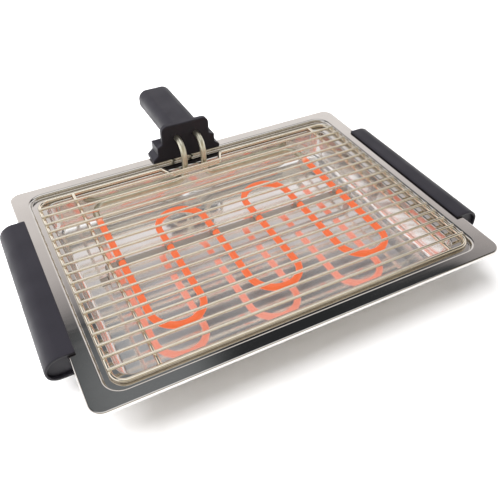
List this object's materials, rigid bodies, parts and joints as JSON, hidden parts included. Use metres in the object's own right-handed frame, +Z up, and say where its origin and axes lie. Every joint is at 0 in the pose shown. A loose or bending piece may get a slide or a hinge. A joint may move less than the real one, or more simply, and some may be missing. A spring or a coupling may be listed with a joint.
{
  "type": "hibachi grill",
  "caption": "Table-top electric grill: pressed steel tray with a wide rim and side handles, a welded wire grate, and a lift-out tubular heating element whose moulded grip hooks over the rim.",
  "frame": {"origin": "on the table under the middle of the whole object, grip included", "axes": "+Z up; +Y towards the grip at the back; +X along the rim's long side, to the right as seen from the front"},
  "size_m": [0.52, 0.465, 0.1115],
  "materials": {
    "polished_stainless": "mirror-polished pressed stainless steel",
    "plain_stainless": "mill-finish stainless strip",
    "plated_wire": "bright nickel-chromium plated steel wire",
    "element_steel": "heat-tinted stainless tube",
    "resistance_alloy": "oxidised resistance alloy",
    "magnesia": "compacted powder",
    "steatite": "unglazed ceramic",
    "phenolic": "satin black phenolic moulding",
    "silicone": "moulded silicone rubber",
    "zinc_steel": "zinc-plated steel",
    "brass": "turned brass"
  },
  "bodies": {
    "tray_base": {"tray": "polished_stainless", "foot_front_left": "phenolic", "foot_front_right": "phenolic", "foot_rear_left": "phenolic", "foot_rear_right": "phenolic", "foot_studs": "zinc_steel", "foot_washers": "zinc_steel", "foot_nuts": "zinc_steel", "side_handle_left": "phenolic", "side_handle_right": "phenolic", "handle_brackets_left": "plain_stainless", "handle_brackets_right": "plain_stainless", "handle_screws": "zinc_steel"},
    "heating_unit": {"element_sheath": "element_steel", "element_insulation": "magnesia", "element_coil": "resistance_alloy", "cold_pin_left": "element_steel", "cold_pin_right": "element_steel", "end_seal_left": "silicone", "end_seal_right": "silicone", "element_support": "plain_stainless", "element_clips": "plain_stainless", "head_front_plate": "phenolic", "grip_upper_shell": "phenolic", "grip_lower_shell": "phenolic", "shell_screws": "zinc_steel", "saddle_screws": "zinc_steel", "element_mount_plate": "plain_stainless", "mount_plate_screws": "zinc_steel", "thermal_cutout": "plain_stainless", "cutout_leads": "silicone", "terminal_block": "steatite", "terminal_screws": "brass", "cord_clamp": "phenolic", "cord_clamp_screws": "zinc_steel", "cord_inlet_bush": "silicone"},
    "grate": {"grate_frame": "plated_wire", "grate_bar_01": "plated_wire", "grate_bar_02": "plated_wire", "grate_bar_03": "plated_wire", "grate_bar_04": "plated_wire", "grate_bar_05": "plated_wire", "grate_bar_06": "plated_wire", "grate_bar_07": "plated_wire", "grate_bar_08": "plated_wire", "grate_bar_09": "plated_wire", "grate_bar_10": "plated_wire", "grate_bar_11": "plated_wire", "grate_bar_12": "plated_wire", "grate_bar_13": "plated_wire", "grate_bar_14": "plated_wire", "grate_bar_15": "plated_wire", "grate_bar_16": "plated_wire", "grate_bar_17": "plated_wire", "grate_bar_18": "plated_wire", "grate_support_left": "plated_wire", "grate_support_right": "plated_wire"}
  },
  "joints": [
    {"name": "heating_unit_lift", "type": "slide", "parent": "tray_base", "child": "heating_unit", "axis": [0, 0, 1], "range_m": [0, 0.12]},
    {"name": "grate_lift", "type": "slide", "parent": "heating_unit", "child": "grate", "axis": [0, 0, 1], "range_m": [0, 0.1]}
  ]
}
